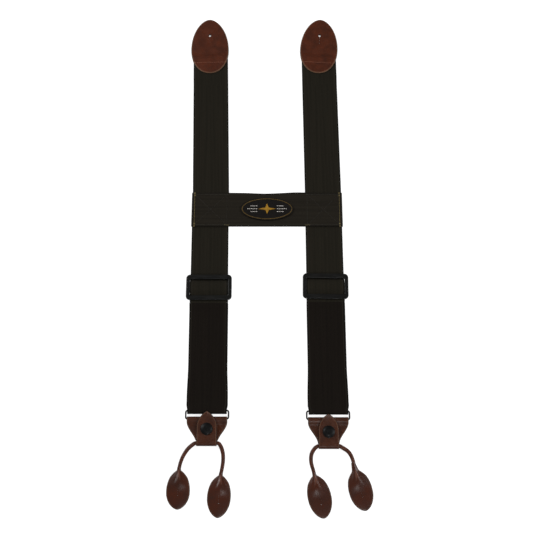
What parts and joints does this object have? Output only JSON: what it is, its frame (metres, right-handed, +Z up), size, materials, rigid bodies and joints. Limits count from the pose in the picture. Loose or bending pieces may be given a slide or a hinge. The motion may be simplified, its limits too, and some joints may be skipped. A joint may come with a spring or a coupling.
{
  "type": "button-on suspenders",
  "caption": "H-back suspenders of wide webbing with leather button tabs, tri-glide adjusters, wire rings and snap-down leather yokes.",
  "frame": {"origin": "on the surface it lies on, at the middle of its outline", "axes": "+X to the wearer's right-hand strap as laid out, +Y along the straps toward the rear button tabs, +Z up from the surface, out of the patch's face"},
  "size_m": [0.2542, 0.711, 0.0107],
  "materials": {
    "webbing": "tightly woven elastic polypropylene webbing, matt, dark olive-black",
    "band_webbing": "the same webbing, a little lighter, matt",
    "rubber": "moulded soft rubber, satin black-brown",
    "rubber_print": "moulded raised line, dull tan",
    "leather": "polished reddish-brown leather",
    "tab_leather": "polished dark brown leather",
    "plastic": "black moulded plastic, semi-gloss",
    "black_wire": "black-enamelled steel wire",
    "snap_paint": "near-black lacquered cap, slightly blue",
    "snap_brass": "plain brass, inside the snap"
  },
  "bodies": {
    "root": {"cross_band": "band_webbing", "patch_base": "rubber", "patch_rim": "rubber_print", "patch_star": "rubber_print", "left_band_strap": "webbing", "right_band_strap": "webbing"},
    "left_back": {"left_back_strap": "webbing"},
    "left_rear_tab": {"left_rear_tab_face": "leather", "left_rear_tab_backing": "leather", "left_rear_tab_strap_end": "webbing"},
    "left_shoulder": {"left_shoulder_strap": "webbing"},
    "left_adjuster": {"left_adjuster_frame": "plastic", "left_adjuster_strap": "webbing", "left_adjuster_loop": "webbing"},
    "left_loop": {"left_loop_strap": "webbing"},
    "left_ring_body": {"left_ring": "black_wire"},
    "left_yoke_body": {"left_yoke": "leather", "left_snap_eyelet": "snap_brass", "left_snap_stud": "snap_brass"},
    "left_flap_body": {"left_snap_flap": "leather", "left_snap_cap": "snap_paint", "left_snap_socket": "snap_brass"},
    "left_cord_body": {"left_leather_cord": "tab_leather"},
    "left_outer_tab": {"left_outer_tab_face": "tab_leather", "left_outer_tab_back": "tab_leather"},
    "left_inner_tab": {"left_inner_tab_face": "tab_leather", "left_inner_tab_back": "tab_leather"},
    "right_back": {"right_back_strap": "webbing"},
    "right_rear_tab": {"right_rear_tab_face": "leather", "right_rear_tab_backing": "leather", "right_rear_tab_strap_end": "webbing"},
    "right_shoulder": {"right_shoulder_strap": "webbing"},
    "right_adjuster": {"right_adjuster_frame": "plastic", "right_adjuster_strap": "webbing", "right_adjuster_loop": "webbing"},
    "right_loop": {"right_loop_strap": "webbing"},
    "right_ring_body": {"right_ring": "black_wire"},
    "right_yoke_body": {"right_yoke": "leather", "right_snap_eyelet": "snap_brass", "right_snap_stud": "snap_brass"},
    "right_flap_body": {"right_snap_flap": "leather", "right_snap_cap": "snap_paint", "right_snap_socket": "snap_brass"},
    "right_cord_body": {"right_leather_cord": "tab_leather"},
    "right_outer_tab": {"right_outer_tab_face": "tab_leather", "right_outer_tab_back": "tab_leather"},
    "right_inner_tab": {"right_inner_tab_face": "tab_leather", "right_inner_tab_back": "tab_leather"}
  },
  "joints": [
    {"name": "left_back_fold", "type": "hinge", "parent": "root", "child": "left_back", "pos_m": [-0.08052, 0.07607, 0.0014], "axis": [1, 0, 0], "range_deg": [0, 60]},
    {"name": "left_rear_tab_flex", "type": "hinge", "parent": "left_back", "child": "left_rear_tab", "pos_m": [-0.08452, 0.26197, 0.0032], "axis": [1, 0, 0], "range_deg": [0, 55]},
    {"name": "left_shoulder_fold", "type": "hinge", "parent": "root", "child": "left_shoulder", "pos_m": [-0.08052, 0.02547, 0.0014], "axis": [-1, 0, 0], "range_deg": [0, 60]},
    {"name": "left_adjuster_slide", "type": "slide", "parent": "left_shoulder", "child": "left_adjuster", "axis": [0, 1, 0], "range_m": [-0.16, 0.03], "deforming": ["left_shoulder_strap", "left_loop_strap"]},
    {"name": "left_loop_slide", "type": "slide", "parent": "left_adjuster", "child": "left_loop", "axis": [0, 1, 0], "range_m": [-0.015, 0.08], "deforming": ["left_loop_strap"]},
    {"name": "left_ring_swing", "type": "hinge", "parent": "left_loop", "child": "left_ring_body", "pos_m": [-0.07882, -0.22423, 0.0029], "axis": [-1, 0, 0], "range_deg": [0, 30]},
    {"name": "left_yoke_swing", "type": "hinge", "parent": "left_ring_body", "child": "left_yoke_body", "pos_m": [-0.07882, -0.23473, 0.0029], "axis": [-1, 0, 0], "range_deg": [0, 15]},
    {"name": "left_flap_open", "type": "hinge", "parent": "left_yoke_body", "child": "left_flap_body", "pos_m": [-0.07882, -0.26873, 0.0039], "axis": [1, 0, 0], "range_deg": [0, 150]},
    {"name": "left_cord_swing", "type": "hinge", "parent": "left_yoke_body", "child": "left_cord_body", "pos_m": [-0.07882, -0.26483, 0.0039], "axis": [-1, 0, 0], "range_deg": [0, 75]},
    {"name": "left_outer_tab_flex", "type": "hinge", "parent": "left_cord_body", "child": "left_outer_tab", "pos_m": [-0.11212, -0.29813, 0.0042], "axis": [-0.9998, 0.0175, 0], "range_deg": [0, 60]},
    {"name": "left_inner_tab_flex", "type": "hinge", "parent": "left_cord_body", "child": "left_inner_tab", "pos_m": [-0.06042, -0.30433, 0.0042], "axis": [-0.9976, 0.0698, 0], "range_deg": [0, 60]},
    {"name": "right_back_fold", "type": "hinge", "parent": "root", "child": "right_back", "pos_m": [0.07408, 0.07607, 0.0014], "axis": [1, 0, 0], "range_deg": [0, 60]},
    {"name": "right_rear_tab_flex", "type": "hinge", "parent": "right_back", "child": "right_rear_tab", "pos_m": [0.0725, 0.26197, 0.0032], "axis": [1, 0, 0], "range_deg": [0, 55]},
    {"name": "right_shoulder_fold", "type": "hinge", "parent": "root", "child": "right_shoulder", "pos_m": [0.07408, 0.02547, 0.0014], "axis": [-1, 0, 0], "range_deg": [0, 60]},
    {"name": "right_adjuster_slide", "type": "slide", "parent": "right_shoulder", "child": "right_adjuster", "axis": [0, 1, 0], "range_m": [-0.16, 0.03], "deforming": ["right_shoulder_strap", "right_loop_strap"]},
    {"name": "right_loop_slide", "type": "slide", "parent": "right_adjuster", "child": "right_loop", "axis": [0, 1, 0], "range_m": [-0.015, 0.08], "deforming": ["right_loop_strap"]},
    {"name": "right_ring_swing", "type": "hinge", "parent": "right_loop", "child": "right_ring_body", "pos_m": [0.07383, -0.22503, 0.0029], "axis": [-1, 0, 0], "range_deg": [0, 30]},
    {"name": "right_yoke_swing", "type": "hinge", "parent": "right_ring_body", "child": "right_yoke_body", "pos_m": [0.07383, -0.23553, 0.0029], "axis": [-1, 0, 0], "range_deg": [0, 15]},
    {"name": "right_flap_open", "type": "hinge", "parent": "right_yoke_body", "child": "right_flap_body", "pos_m": [0.07383, -0.27233, 0.0039], "axis": [1, 0, 0], "range_deg": [0, 150]},
    {"name": "right_cord_swing", "type": "hinge", "parent": "right_yoke_body", "child": "right_cord_body", "pos_m": [0.07383, -0.26843, 0.0039], "axis": [-1, 0, 0], "range_deg": [0, 75]},
    {"name": "right_outer_tab_flex", "type": "hinge", "parent": "right_cord_body", "child": "right_outer_tab", "pos_m": [0.10594, -0.29873, 0.0042], "axis": [-0.9711, -0.2385, 0], "range_deg": [0, 60]},
    {"name": "right_inner_tab_flex", "type": "hinge", "parent": "right_cord_body", "child": "right_inner_tab", "pos_m": [0.05543, -0.30453, 0.0042], "axis": [-0.9767, -0.2147, 0], "range_deg": [0, 60]}
  ],
  "couplings": [
    {"joint": "left_loop_slide", "follows": "left_adjuster_slide", "ratio": -0.5},
    {"joint": "right_loop_slide", "follows": "right_adjuster_slide", "ratio": -0.5}
  ]
}
